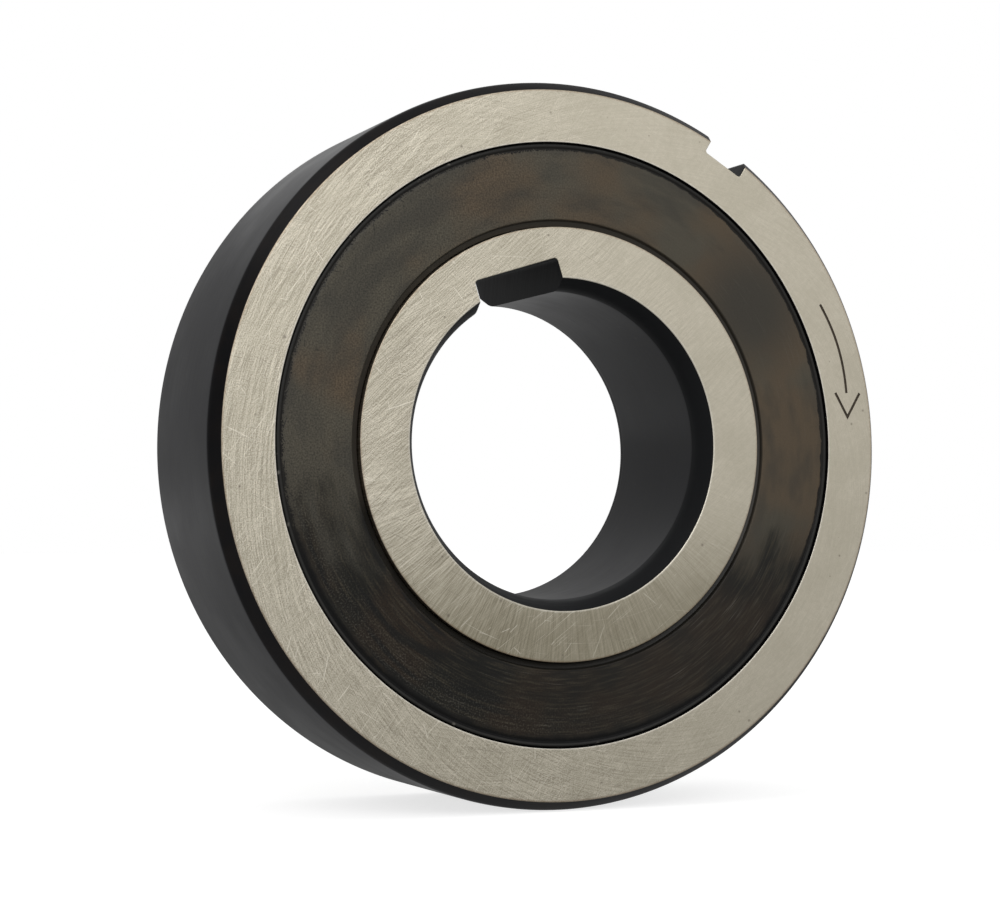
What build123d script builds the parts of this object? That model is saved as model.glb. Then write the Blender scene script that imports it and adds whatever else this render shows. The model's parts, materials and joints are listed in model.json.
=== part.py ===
from build123d import *
import math
import os

# One-way sprag clutch with a built-in ball bearing, keyed on both rings.
# Millimetres. The clutch turns about Y, its marked front face looks to -Y, +Z is up,
# and the origin is the middle of the bore. Angles are clockwise from the top, seen from the front.

# Rings, from the bore outwards: 20 mm bore, 47 mm outside diameter
bore_diameter = 20.0
inner_ring_wall = 4.0  # bore to the land that sprags and seal lips run on
race_space = 4.9  # inner land to outer race, spanned by a sprag
outer_ring_wall = 4.6  # outer race to outside diameter
width = 14.0

# Chamfers, longer along the axis than across it
outside_chamfer_across = 0.64
outside_chamfer_along = 0.95
bore_chamfer_across = 0.72
bore_chamfer_along = 1.4
edge_break = 0.08

# Keyway in the bore and keyseat across the outside
inner_key_width = 6.0
inner_key_depth = 1.65
inner_key_angle = -17.4
inner_key_corner = 0.25
outer_key_width = 3.0
outer_key_depth = 1.5
outer_key_angle = 31.4
outer_key_corner = 0.2
outer_key_lip = 0.3

# Ball row: 7/32 inch balls in deep grooves
ball_diameter = 5.556
ball_count = 10
ball_play = 0.06
inner_groove_depth = 1.0
outer_groove_depth = 1.1
groove_conformity = 0.52  # groove radius as a share of the ball's diameter

# Crown cage of the balls
crown_back = 0.7  # thickness behind the balls
crown_reach = 1.0  # how far its claws reach past the balls' centres
crown_radial_play = 0.4
pocket_play = 0.12
crown_slot_width = 1.8

# Sprag row
sprag_count = 16
sprag_play = 0.05  # sprag to each race when engaged
sprag_end_play = 0.1
sprag_head_width = 3.4
sprag_foot_width = 3.2
sprag_waist_width = 2.1
sprag_head_radius = 3.4
sprag_foot_radius = 3.0
sprag_corner = 0.3
sprag_edge_height = 0.45
grip_angle = 4.0  # between the line through a sprag's contacts and the radius
rock_angle = 8.0  # how far a sprag tips when it slips

# Sheet-steel cages of the sprags and the ribbon spring between them
cage_sheet = 0.4
cage_rail = 0.35
cage_fit = 0.04
cage_race_gap = 0.85  # race to the near side of a cage's band
foot_flange = 0.7
window_play = 0.12
row_gap = 0.3  # between the sprag cages and the balls
ribbon_sheet = 0.15
tongue_width = 1.6
tongue_gap = 0.15

# Seals
seal_recess = 0.12  # face of the rings to face of the seal
seal_thickness = 0.95
seal_side_play = 0.25
seal_mouth = 0.57  # outer race to the edge of the seat at the ring's face
seal_mouth_depth = 0.45
seal_undercut = 0.38
seal_undercut_ramp = 0.2
seal_fit = 0.03
seal_bead_gap = 0.07
seal_bead_width = 0.38
seal_crease_depth = 0.12
seal_crease_width = 0.14
seal_lip_gap = 0.05
seal_lip_thickness = 0.16
seal_lip_slope = 0.28
seal_throat = 0.5  # inner land to the seal's inner edge
seal_inner_bend = 0.5
seal_inner_drop = 0.2
core_sheet = 0.38
core_margin = 0.45

# Direction arrow on the front face
arrow_radius = 21.33
arrow_start = 62.7
arrow_end = 79.7
arrow_tip = 84.2
arrow_head_length = 1.62
arrow_head_width = 1.88
arrow_line = 0.18
arrow_depth = 0.06

# Radii and stations that follow
half_width = width / 2
bore_radius = bore_diameter / 2
land_radius = bore_radius + inner_ring_wall
race_radius = land_radius + race_space
outer_radius = race_radius + outer_ring_wall
mouth_radius = race_radius + seal_mouth
undercut_radius = mouth_radius + seal_undercut
pitch_radius = (land_radius + race_radius) / 2

seal_face = half_width - seal_recess
seal_back = seal_face - seal_thickness

ball_radius = ball_diameter / 2
groove_radius = groove_conformity * ball_diameter + ball_play
inner_groove_bottom = land_radius - inner_groove_depth
ball_pitch_radius = inner_groove_bottom + ball_play + ball_radius
outer_groove_bottom = ball_pitch_radius + ball_radius + ball_play
shoulder_radius = outer_groove_bottom - outer_groove_depth
crown_outer_radius = shoulder_radius - crown_radial_play
crown_inner_radius = land_radius + crown_radial_play
crown_end = seal_back - seal_side_play
ball_station = crown_end - crown_back - pocket_play - ball_radius

cage_front = seal_side_play - seal_back
cage_rear = ball_station - ball_radius - row_gap
cage_middle = (cage_front + cage_rear) / 2
window_length = cage_rear - cage_front - 2 * cage_rail
sprag_length = window_length - 2 * sprag_end_play


def frame_at(angle, radius, station=0.0):
    """Plane across the axis, with x clockwise round the clutch and y outwards."""
    a = math.radians(angle)
    return Plane(
        origin=(radius * math.sin(a), station, radius * math.cos(a)),
        x_dir=(math.cos(a), 0, -math.sin(a)),
        z_dir=(0, -1, 0),
    )


def radial_frame(angle, radius, station=0.0):
    """Plane that faces outwards, with x clockwise round the clutch and y along its axis."""
    a = math.radians(angle)
    return Plane(
        origin=(radius * math.sin(a), station, radius * math.cos(a)),
        x_dir=(math.cos(a), 0, -math.sin(a)),
        z_dir=(math.sin(a), 0, math.cos(a)),
    )


def groove_half_width(edge_radius, centre_radius):
    """Half the width of a ball groove where it meets a shoulder."""
    return math.sqrt(groove_radius**2 - (edge_radius - centre_radius) ** 2)


def save(part, name):
    part.label = name
    export_step(part, f"parts/{name}.step")


os.makedirs("parts", exist_ok=True)

# ---- Outer ring: turned and ground ring, profile drawn as radius against station ----
outer_groove_edge = groove_half_width(shoulder_radius, outer_groove_bottom - groove_radius)
race_end = cage_rear + window_play  # the sprags' race stops just past their cages

with BuildPart() as outer_ring:
    with BuildSketch(Plane.XY):
        with BuildLine():
            Polyline(
                (shoulder_radius, ball_station + outer_groove_edge),
                (shoulder_radius, seal_back),
                (undercut_radius, seal_back),
                (undercut_radius, half_width - seal_mouth_depth - seal_undercut_ramp),
                (mouth_radius, half_width - seal_mouth_depth),
                (mouth_radius, half_width),
                (outer_radius - outside_chamfer_across, half_width),
                (outer_radius, half_width - outside_chamfer_along),
                (outer_radius, outside_chamfer_along - half_width),
                (outer_radius - outside_chamfer_across, -half_width),
                (mouth_radius, -half_width),
                (mouth_radius, seal_mouth_depth - half_width),
                (undercut_radius, seal_mouth_depth + seal_undercut_ramp - half_width),
                (undercut_radius, -seal_back),
                (race_radius, -seal_back),
                (race_radius, race_end),
                (shoulder_radius, race_end),
                (shoulder_radius, ball_station - outer_groove_edge),
            )
            ThreePointArc(
                (shoulder_radius, ball_station - outer_groove_edge),
                (outer_groove_bottom, ball_station),
                (shoulder_radius, ball_station + outer_groove_edge),
            )
        make_face()
    revolve(axis=Axis.Y)

    # keyseat right across the outside, its lips rounded into the outside diameter
    floor = outer_radius - outer_key_depth
    wall = outer_key_width / 2
    lip_side = wall + outer_key_lip
    lip_height = math.sqrt((outer_radius - outer_key_lip) ** 2 - lip_side**2)
    lip_turn = math.atan2(lip_side, lip_height)
    lip_end = (outer_radius * math.sin(lip_turn), outer_radius * math.cos(lip_turn))
    clear_height = outer_radius + outer_key_depth  # anywhere outside the ring
    with BuildSketch(frame_at(outer_key_angle, 0)) as keyseat:
        with BuildLine():
            Polyline((0, floor), (wall, floor), (wall, lip_height))
            RadiusArc((wall, lip_height), lip_end, outer_key_lip)
            Polyline(lip_end, (lip_end[0], clear_height), (0, clear_height))
            mirror(about=Plane.YZ)
        make_face()
        fillet(keyseat.vertices().group_by(Axis.Y)[0], outer_key_corner)
    extrude(amount=width, both=True, mode=Mode.SUBTRACT)

    # direction arrow, marked into the front face between the seal and the chamfer
    with BuildSketch(Plane.XZ.offset(half_width)):
        with BuildLine():
            CenterArc((0, 0), arrow_radius, 90 - arrow_start, arrow_start - arrow_end)
        trace(line_width=arrow_line)
    with BuildSketch(frame_at(arrow_tip, arrow_radius, -half_width)):
        with BuildLine():
            Polyline(
                (-arrow_head_length, -arrow_head_width / 2),
                (0, 0),
                (-arrow_head_length, arrow_head_width / 2),
            )
        trace(line_width=arrow_line)
    extrude(amount=-arrow_depth, mode=Mode.SUBTRACT)
save(outer_ring.part, "outer_ring")

# ---- Inner ring: bore with long chamfers, a land for sprags and lips, one ball groove ----
inner_groove_edge = groove_half_width(land_radius, inner_groove_bottom + groove_radius)

with BuildPart() as inner_ring:
    with BuildSketch(Plane.XY):
        with BuildLine():
            Polyline(
                (land_radius, ball_station - inner_groove_edge),
                (land_radius, edge_break - half_width),
                (land_radius - edge_break, -half_width),
                (bore_radius + bore_chamfer_across, -half_width),
                (bore_radius, bore_chamfer_along - half_width),
                (bore_radius, half_width - bore_chamfer_along),
                (bore_radius + bore_chamfer_across, half_width),
                (land_radius - edge_break, half_width),
                (land_radius, half_width - edge_break),
                (land_radius, ball_station + inner_groove_edge),
            )
            ThreePointArc(
                (land_radius, ball_station + inner_groove_edge),
                (inner_groove_bottom, ball_station),
                (land_radius, ball_station - inner_groove_edge),
            )
        make_face()
    revolve(axis=Axis.Y)

    # keyway the whole length of the bore
    key_floor = bore_radius + inner_key_depth
    with BuildSketch(frame_at(inner_key_angle, 0)) as keyway:
        with Locations((0, key_floor / 2)):
            Rectangle(inner_key_width, key_floor)
        fillet(keyway.vertices().group_by(Axis.Y)[-1], inner_key_corner)
    extrude(amount=width, both=True, mode=Mode.SUBTRACT)
save(inner_ring.part, "inner_ring")

# ---- Seals: rubber moulded round a steel washer, seated in the outer ring at each end ----
rim_radius = undercut_radius - seal_fit
bead_radius = mouth_radius - seal_bead_gap
bead_inner = bead_radius - seal_bead_width
crease_middle = bead_inner - seal_crease_width / 2
crease_inner = bead_inner - seal_crease_width
throat_radius = land_radius + seal_throat
core_inner = throat_radius + core_margin
core_outer = bead_radius - core_margin / 2
lip_radius = land_radius + seal_lip_gap
rim_station = half_width - seal_mouth_depth - seal_undercut_ramp - seal_fit
bead_station = half_width - seal_mouth_depth - seal_fit


for side, end in ((-1, "front"), (1, "rear")):
    with BuildPart() as seal_rubber:
        with BuildSketch(Plane.XY):
            with BuildLine():
                Polyline(
                    (throat_radius + seal_inner_bend, side * seal_face),
                    (crease_inner, side * seal_face),
                    (crease_middle, side * (seal_face - seal_crease_depth)),
                    (bead_inner, side * seal_face),
                )
                ThreePointArc(
                    (bead_inner, side * seal_face),
                    ((bead_inner + bead_radius) / 2, side * (seal_face + seal_recess / 3)),
                    (bead_radius, side * (seal_face - seal_recess / 2)),
                )
                Polyline(
                    (bead_radius, side * (seal_face - seal_recess / 2)),
                    (bead_radius, side * bead_station),
                    (rim_radius, side * rim_station),
                    (rim_radius, side * seal_back),
                    (core_outer, side * seal_back),
                    (core_outer, side * (seal_back + core_sheet)),
                    (core_inner, side * (seal_back + core_sheet)),
                    (core_inner, side * seal_back),
                    (core_inner - core_margin / 2, side * seal_back),
                    (lip_radius, side * (seal_back + seal_lip_slope)),
                    (lip_radius, side * (seal_back + seal_lip_slope + seal_lip_thickness)),
                    (throat_radius, side * (seal_back + 2 * seal_lip_slope)),
                    (throat_radius, side * (seal_face - seal_inner_drop)),
                    (throat_radius + seal_inner_bend, side * seal_face),
                )
            make_face()
        revolve(axis=Axis.Y)
    save(seal_rubber.part, f"{end}_seal_rubber")

    with BuildPart() as seal_core:
        with BuildSketch(Plane.XZ.offset(-side * seal_back)):
            Circle(core_outer)
            Circle(core_inner, mode=Mode.SUBTRACT)
        extrude(amount=-side * core_sheet)
    save(seal_core.part, f"{end}_seal_core")

# ---- Balls, each at its own place on the pitch circle ----
ball_angles = [360 * n / ball_count for n in range(ball_count)]
ball_frames = [radial_frame(angle, ball_pitch_radius, ball_station) for angle in ball_angles]

for number, ball_frame in enumerate(ball_frames, start=1):
    with BuildPart() as ball:
        with Locations(ball_frame):
            Sphere(ball_radius)
    save(ball.part, f"ball_{number:02d}")

# ---- Crown cage: a nylon ring behind the balls, with open pockets that snap over them ----
with BuildPart() as ball_cage:
    with BuildSketch(Plane.XZ.offset(-crown_end)):
        Circle(crown_outer_radius)
        Circle(crown_inner_radius, mode=Mode.SUBTRACT)
    extrude(amount=crown_end - ball_station + crown_reach)
    for ball_frame in ball_frames:
        with Locations(ball_frame):
            Sphere(ball_radius + pocket_play, mode=Mode.SUBTRACT)
    # slots between the pockets leave a pair of springy claws round each ball
    slot_bottom = ball_station + ball_radius / 2
    for angle in ball_angles:
        with BuildSketch(radial_frame(angle + 180 / ball_count, crown_inner_radius)):
            with Locations((0, slot_bottom)):
                Circle(crown_slot_width / 2)
            with Locations((0, slot_bottom - ball_radius)):
                Rectangle(crown_slot_width, 2 * ball_radius)
        extrude(amount=crown_outer_radius - crown_inner_radius, both=True, mode=Mode.SUBTRACT)
save(ball_cage.part, "ball_cage")

# ---- Sprags: hardened cams whose head and foot arcs are offset, so that they grip when tipped ----
head_centre_height = race_radius - sprag_play - sprag_head_radius - pitch_radius
foot_centre_height = land_radius + sprag_play + sprag_foot_radius - pitch_radius
# the two contacts lie apart by this angle round the clutch, which gives the grip angle at the land
contact_turn = math.atan(math.tan(math.radians(grip_angle)) * race_space / race_radius)
cam_offset = contact_turn / (
    1 / (pitch_radius + head_centre_height) + 1 / (pitch_radius + foot_centre_height)
)


def arc_height(centre_x, centre_y, radius, x):
    """Height of an arc above or below its centre at x; a negative radius takes the lower side."""
    return centre_y + math.copysign(math.sqrt(radius**2 - (x - centre_x) ** 2), radius)


head = sprag_head_width / 2
foot = sprag_foot_width / 2
waist = sprag_waist_width / 2
head_left = arc_height(cam_offset, head_centre_height, sprag_head_radius, -head)
head_right = arc_height(cam_offset, head_centre_height, sprag_head_radius, head)
foot_left = arc_height(-cam_offset, foot_centre_height, -sprag_foot_radius, -foot)
foot_right = arc_height(-cam_offset, foot_centre_height, -sprag_foot_radius, foot)
head_top = (cam_offset, head_centre_height + sprag_head_radius)
foot_bottom = (-cam_offset, foot_centre_height - sprag_foot_radius)
head_shoulder = head_left - sprag_edge_height
foot_shoulder = foot_right + sprag_edge_height
sprag_angles = [360 * (n + 0.5) / sprag_count for n in range(sprag_count)]

for number, angle in enumerate(sprag_angles, start=1):
    with BuildPart() as sprag:
        with BuildSketch(frame_at(angle, pitch_radius, cage_middle)) as outline:
            with BuildLine():
                ThreePointArc((-head, head_left), head_top, (head, head_right))
                Line((head, head_right), (head, head_shoulder))
                ThreePointArc((head, head_shoulder), (waist, 0), (foot, foot_shoulder))
                Line((foot, foot_shoulder), (foot, foot_right))
                ThreePointArc((foot, foot_right), foot_bottom, (-foot, foot_left))
                Line((-foot, foot_left), (-foot, foot_shoulder))
                ThreePointArc((-foot, foot_shoulder), (-waist, 0), (-head, head_shoulder))
                Line((-head, head_shoulder), (-head, head_left))
            make_face()
            rows = outline.vertices().group_by(Axis.Y, tol_digits=0)
            fillet(rows[0] + rows[-1], sprag_corner)
        extrude(amount=sprag_length / 2, both=True)
    save(sprag.part, f"sprag_{number:02d}")

# ---- Sprag cages: two drawn sheet-steel bands with a window for every sprag ----
head_band_outer = race_radius - cage_race_gap
head_band_inner = head_band_outer - cage_sheet
foot_band_inner = land_radius + cage_race_gap
foot_band_outer = foot_band_inner + cage_sheet


def window_width(sprag_width, band_radius):
    """Width that clears a sprag at a band through its whole rocking range."""
    swing = abs(band_radius - pitch_radius) * math.sin(math.radians(rock_angle))
    return sprag_width + 2 * (swing + window_play)


head_window = window_width(sprag_head_width, head_band_outer)
foot_window = window_width(sprag_foot_width, foot_band_inner)

with BuildPart() as sprag_outer_cage:
    with BuildSketch(Plane.XY):
        with BuildLine():
            Polyline(
                (head_band_inner, cage_front),
                (race_radius - cage_fit, cage_front),
                (race_radius - cage_fit, cage_front + cage_rail),
                (head_band_outer, cage_front + cage_rail),
                (head_band_outer, cage_rear),
                (head_band_inner, cage_rear),
                close=True,
            )
        make_face()
    revolve(axis=Axis.Y)
    for angle in sprag_angles:
        with BuildSketch(radial_frame(angle, head_band_inner, cage_middle)):
            Rectangle(head_window, window_length)
        extrude(amount=cage_race_gap, both=True, mode=Mode.SUBTRACT)
save(sprag_outer_cage.part, "sprag_outer_cage")

with BuildPart() as sprag_inner_cage:
    with BuildSketch(Plane.XY):
        with BuildLine():
            Polyline(
                (foot_band_inner, cage_front),
                (foot_band_outer + foot_flange, cage_front),
                (foot_band_outer + foot_flange, cage_front + cage_rail),
                (foot_band_outer, cage_front + cage_rail),
                (foot_band_outer, cage_rear),
                (foot_band_inner, cage_rear),
                close=True,
            )
        make_face()
    revolve(axis=Axis.Y)
    for angle in sprag_angles:
        with BuildSketch(radial_frame(angle, foot_band_inner, cage_middle)):
            Rectangle(foot_window, window_length)
        extrude(amount=cage_race_gap, both=True, mode=Mode.SUBTRACT)
save(sprag_inner_cage.part, "sprag_inner_cage")

# ---- Ribbon spring: a thin band between the cages, one tongue leaning on each sprag's waist ----
ribbon_window = sprag_foot_width + 2 * window_play
tongue_end = sprag_waist_width / 2 + tongue_gap
ribbon_inner = pitch_radius - ribbon_sheet / 2

with BuildPart() as sprag_spring:
    with BuildSketch(Plane.XZ.offset(-cage_front)):
        Circle(ribbon_inner + ribbon_sheet)
        Circle(ribbon_inner, mode=Mode.SUBTRACT)
    extrude(amount=cage_front - cage_rear)
    for angle in sprag_angles:
        with BuildSketch(radial_frame(angle, ribbon_inner, cage_middle)):
            Rectangle(ribbon_window, window_length)
            with Locations((tongue_end + ribbon_window / 2, 0)):
                Rectangle(ribbon_window, tongue_width, mode=Mode.SUBTRACT)
        extrude(amount=cage_sheet, both=True, mode=Mode.SUBTRACT)
save(sprag_spring.part, "sprag_spring")
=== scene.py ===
import json
import math

import bmesh
import bpy
import numpy as np
from mathutils import Matrix, Vector


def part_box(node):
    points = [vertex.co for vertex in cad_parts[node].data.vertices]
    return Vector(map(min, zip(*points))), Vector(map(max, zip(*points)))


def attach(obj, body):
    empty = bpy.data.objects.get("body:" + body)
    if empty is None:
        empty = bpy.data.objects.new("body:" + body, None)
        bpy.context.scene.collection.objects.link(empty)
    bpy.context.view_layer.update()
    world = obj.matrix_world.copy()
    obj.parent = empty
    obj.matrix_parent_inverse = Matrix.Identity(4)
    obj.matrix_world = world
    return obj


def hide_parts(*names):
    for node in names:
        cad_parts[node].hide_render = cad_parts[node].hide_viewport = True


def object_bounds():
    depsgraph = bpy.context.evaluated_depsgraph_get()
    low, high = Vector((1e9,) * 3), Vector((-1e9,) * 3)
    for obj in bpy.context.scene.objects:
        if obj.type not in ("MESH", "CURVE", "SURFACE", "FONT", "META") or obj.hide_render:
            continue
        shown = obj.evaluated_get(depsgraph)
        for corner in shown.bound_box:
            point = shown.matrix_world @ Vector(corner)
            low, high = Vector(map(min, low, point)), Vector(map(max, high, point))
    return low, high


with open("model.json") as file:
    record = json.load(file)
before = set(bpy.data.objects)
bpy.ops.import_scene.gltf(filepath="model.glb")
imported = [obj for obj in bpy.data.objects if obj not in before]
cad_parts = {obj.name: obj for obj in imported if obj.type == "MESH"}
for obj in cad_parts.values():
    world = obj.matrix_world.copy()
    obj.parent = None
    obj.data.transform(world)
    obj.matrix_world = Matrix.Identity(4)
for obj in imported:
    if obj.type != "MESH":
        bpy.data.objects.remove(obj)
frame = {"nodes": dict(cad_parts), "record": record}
cad_low, cad_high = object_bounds()

# ---- Outer ring ----
# A hardened steel ring that goes into the housing. It is blackened all over, then both faces are ground
# bright; a small keyseat crosses its outside, and a seat at each end holds a seal.

MM = 0.001
mounts = {mount["name"]: mount for mount in frame["record"]["mounts"]}
half_width = cad_high.y / MM
outer_radius = mounts["outside_diameter"]["dims"]["r_mm"]
outside_chamfer_along = half_width - mounts["outside_diameter"]["dims"]["length_mm"] / 2
outside_chamfer_across = 0.64
outside_corner = 0.28  # how far the rounding reaches where the outside meets its chamfers
face_outer = outer_radius - outside_chamfer_across
seal_clearance = 0.03
seat_mouth = 19.47  # radius of the seal's seat at the ring's face
seat_mouth_depth = 0.45
seat_ramp = 0.2
seat_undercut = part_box("front_seal_rubber")[1].x / MM + seal_clearance
seat_floor = -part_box("front_seal_rubber")[1].y / MM
seat_corner = 0.1
race_radius = 18.9
race_end = -0.876
shoulder_radius = 17.576
ball_low, ball_high = (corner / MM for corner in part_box("ball_01"))
ball_diameter = ball_high.x - ball_low.x
ball_station = (ball_low.y + ball_high.y) / 2
ball_gap = 0.06
groove_radius = 0.52 * ball_diameter + ball_gap
outer_groove_bottom = ball_high.z + ball_gap
edge_break = 0.05  # how far a machined edge is worn round
face_band = 0.15  # a narrow band of the face beside its edge
slotted_band = 1.1 * face_band  # how far in from the face's edge a slot's walls cut the rows of points
groove_points = 17
tiny = 1e-6  # a length too short to matter


def groove_arc(centre, middle, shoulder):
    """Points across a ball groove in the plane of radius and station: even steps along a circle, out to the
    shoulder's radius on both sides of its bottom, which lies at the angle middle from the centre."""
    lean = math.acos(abs(shoulder - centre) / groove_radius)
    angle = np.linspace(middle + lean, middle - lean, groove_points)
    radius = centre + groove_radius * np.cos(angle)
    return np.column_stack([radius, ball_station + groove_radius * np.sin(angle)])


def rounded(corners, reach, steps=6):
    """Closed outline with its corners rounded: each corner is left at one point and met at another, both
    its reach away, joined by the quadratic curve whose control point is the corner. Points that coincide
    are dropped."""
    corners = np.asarray(corners, float)
    before = np.roll(corners, 1, axis=0) - corners
    after = np.roll(corners, -1, axis=0) - corners
    reach = np.asarray(reach, float)[:, None]
    start = corners + before * reach / np.linalg.norm(before[:, :2], axis=1, keepdims=True)
    end = corners + after * reach / np.linalg.norm(after[:, :2], axis=1, keepdims=True)
    t = np.linspace(0, 1, steps)[None, :, None]
    curve = (1 - t) ** 2 * start[:, None] + 2 * t * (1 - t) * corners[:, None] + t**2 * end[:, None]
    curve = curve.reshape(-1, corners.shape[1])
    return curve[np.linalg.norm(curve - np.roll(curve, 1, axis=0), axis=1) > tiny]


slot_floor_points, slot_corner_points, slot_wall_points = 5, 7, 15
columns_round = 420  # points on each circle, beside the slot's own


def slot_from(mount, **sizes):
    """Slot sizes with the angle, clockwise from the top, and floor height of the mount that lies on its
    floor."""
    x, _, z = mount["pos_m"]
    return {"angle": math.atan2(x, z), "floor": math.hypot(x, z) / MM, **sizes}


def slot_outline(radius, grow, slot):
    """Half of a key slot's outline for each row, from the middle of its floor to the row's circle, as
    distance across and height from the axis: floor, corner arc, wall and lip arc. grow offsets the whole
    outline outwards. Wall and lip share their points evenly by length, and end where they meet the circle
    of the row's radius."""
    half, corner, lip, side = slot["width"] / 2, slot["corner"], slot["lip"], slot["side"]
    floor_across = np.linspace(0, 1, slot_floor_points)[None, :-1] * (half - corner)
    floor = [floor_across + 0 * radius, slot["floor"] + side * grow + 0 * floor_across]
    turn = np.linspace(0, math.pi / 2, slot_corner_points)[None, :-1]
    arc = [
        half - corner + (corner + grow) * np.sin(turn),
        slot["floor"] - side * corner + side * (corner + grow) * np.cos(turn),
    ]
    wall_start = slot["floor"] - side * corner
    wall_end = np.sqrt(radius**2 - (half + grow) ** 2)
    lip_turn = 0 * radius
    lip_radius = np.maximum(lip - grow, tiny)
    if lip:
        centre = slot["rim"] - lip
        lip_height = math.sqrt(centre**2 - (half + lip) ** 2)
        lean = math.atan2(half + lip, lip_height)
        between = (radius**2 - centre**2 - lip_radius**2) / (2 * centre * lip_radius)
        lip_turn = np.maximum(math.pi / 2 + lean - np.arccos(np.clip(between, -1, 1)), 0)
        wall_end = np.where(lip_turn > 0, lip_height, wall_end)
    wall_length = np.abs(wall_end - wall_start)
    along = np.linspace(0, 1, slot_wall_points)[None, :] * (wall_length + lip_radius * lip_turn)
    turned = np.maximum(along - wall_length, 0) / lip_radius
    climb = np.minimum(along, wall_length) * np.sign(wall_end - wall_start)
    wall = [
        half + grow + lip_radius * (1 - np.cos(turned)),
        wall_start + climb + lip_radius * np.sin(turned),
    ]
    return [np.concatenate([floor[k], arc[k], wall[k]], axis=1) for k in (0, 1)]


def slotted_ring(profile, slotted, slot, spread=0.0):
    """Grid of points of a ring turned about Y with one straight slot along it. A row is the circle of a
    profile point. A slotted row is open between the slot's walls and closed over the slot's outline. Any
    other row has as many points on its whole circle, at the angles of the outline's points, which spread
    pulls further apart."""
    radius, station, grow = profile[:, :1], profile[:, 1:2], profile[:, 2:3]
    across, height = slot_outline(np.where(slotted[:, None], radius, slot["edge"]), grow, slot)
    fan = np.arctan2(across, height) + spread * np.linspace(0, 1, across.shape[1])[None, :]
    across = np.where(slotted[:, None], across, radius * np.sin(fan))
    height = np.where(slotted[:, None], height, radius * np.cos(fan))
    open_half = np.arctan2(across[:, -1:], height[:, -1:])
    step = np.arange(1, columns_round + 1)[None, :] / (columns_round + 1)
    angle = open_half + (2 * math.pi - 2 * open_half) * step
    across = np.concatenate([-across[:, :0:-1], across, radius * np.sin(angle)], axis=1)
    height = np.concatenate([height[:, :0:-1], height, radius * np.cos(angle)], axis=1)
    lean = slot["angle"]
    x = across * math.cos(lean) + height * math.sin(lean)
    z = height * math.cos(lean) - across * math.sin(lean)
    return np.stack([x, station + 0 * x, z], axis=-1) * MM


sharp_angle = math.radians(30)  # faces that meet at more than this keep a sharp edge
no_area = 1e-18  # keeps a face without area from dividing by nothing


def new_object(name, data):
    """Object of a mesh, a lamp or a camera, put into the scene."""
    made = bpy.data.objects.new(name, data)
    bpy.context.scene.collection.objects.link(made)
    return made


def grid_mesh(name, points, finish=None):
    """Object whose closed mesh joins a grid of points that wraps round both ways, its faces turned
    outwards: the sum of each face's centre dotted with its area vector is positive on such a solid.
    finish gives each face's material from its centre and normal."""
    rows, columns = points.shape[:2]
    index = np.arange(rows * columns).reshape(rows, columns)
    right = np.roll(index, -1, axis=1)
    faces = np.stack([index, right, np.roll(right, -1, axis=0), np.roll(index, -1, axis=0)], axis=-1)
    faces = faces.reshape(-1, 4)
    flat = points.reshape(-1, 3)
    area = np.cross(flat[faces[:, 2]] - flat[faces[:, 0]], flat[faces[:, 3]] - flat[faces[:, 1]])
    centre = flat[faces].mean(axis=1)
    if (centre * area).sum() < 0:
        faces, area = faces[:, ::-1], -area
    mesh = bpy.data.meshes.new(name)
    mesh.from_pydata(flat.tolist(), [], faces.tolist())
    mesh.shade_smooth()
    mesh.set_sharp_from_angle(angle=sharp_angle)
    if finish:
        normal = area / np.maximum(np.linalg.norm(area, axis=1, keepdims=True), no_area)
        mesh.polygons.foreach_set("material_index", finish(centre / MM, normal).astype(np.int32))
    return new_object(name, mesh)


def put(tree, kind, inputs=None, **settings):
    """A shader node with its settings and inputs filled in. An input given as a socket is linked."""
    made = tree.nodes.new(kind)
    for name, value in settings.items():
        setattr(made, name, value)
    for name, value in (inputs or {}).items():
        if isinstance(value, bpy.types.NodeSocket):
            tree.links.new(value, made.inputs[name])
        else:
            made.inputs[name].default_value = value
    return made


def calc(tree, operation, *values):
    """Output of one Math node."""
    return put(tree, "ShaderNodeMath", dict(enumerate(values)), operation=operation).outputs[0]


def product(tree, *values):
    """Numbers multiplied together."""
    total = values[0]
    for value in values[1:]:
        total = calc(tree, "MULTIPLY", total, value)
    return total


def blend(tree, *shares):
    """Sum of numbers, each times its share."""
    total = 0.0
    for value, share in shares:
        total = calc(tree, "MULTIPLY_ADD", value, share, total)
    return total


def centred(tree, value):
    """Number from 0 to 1 counted from its middle."""
    return calc(tree, "SUBTRACT", value, 0.5)


def eased(tree, share, first, second):
    """Number that goes from first to second as share goes from 0 to 1."""
    return calc(tree, "MULTIPLY_ADD", calc(tree, "SUBTRACT", second, first), share, first)


def fade(tree, value, low, high, start=0.0, end=1.0):
    """Smooth step of a value between two limits, from start to end."""
    limits = {"Value": value, "From Min": low, "From Max": high, "To Min": start, "To Max": end}
    return put(tree, "ShaderNodeMapRange", limits, interpolation_type="SMOOTHSTEP").outputs["Result"]


def tint(tree, share, first, second):
    """Colour that goes from first to second as share goes from 0 to 1."""
    colours = {0: share, 6: first, 7: second}
    return put(tree, "ShaderNodeMix", colours, data_type="RGBA").outputs[2]


def layered(tree, colour, *layers):
    """Colour with layers laid over it in turn, each given as its share and its own colour."""
    for share, layer in layers:
        colour = tint(tree, share, colour, layer)
    return colour


def vector_calc(tree, operation, *values):
    """Result of one Vector Math node: a number for a length or distance, otherwise a vector."""
    made = put(tree, "ShaderNodeVectorMath", dict(enumerate(values)), operation=operation)
    return made.outputs["Value" if operation in ("LENGTH", "DISTANCE") else "Vector"]


def axes(tree, vector):
    """The three numbers of a vector."""
    return put(tree, "ShaderNodeSeparateXYZ", {0: vector}).outputs


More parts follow.
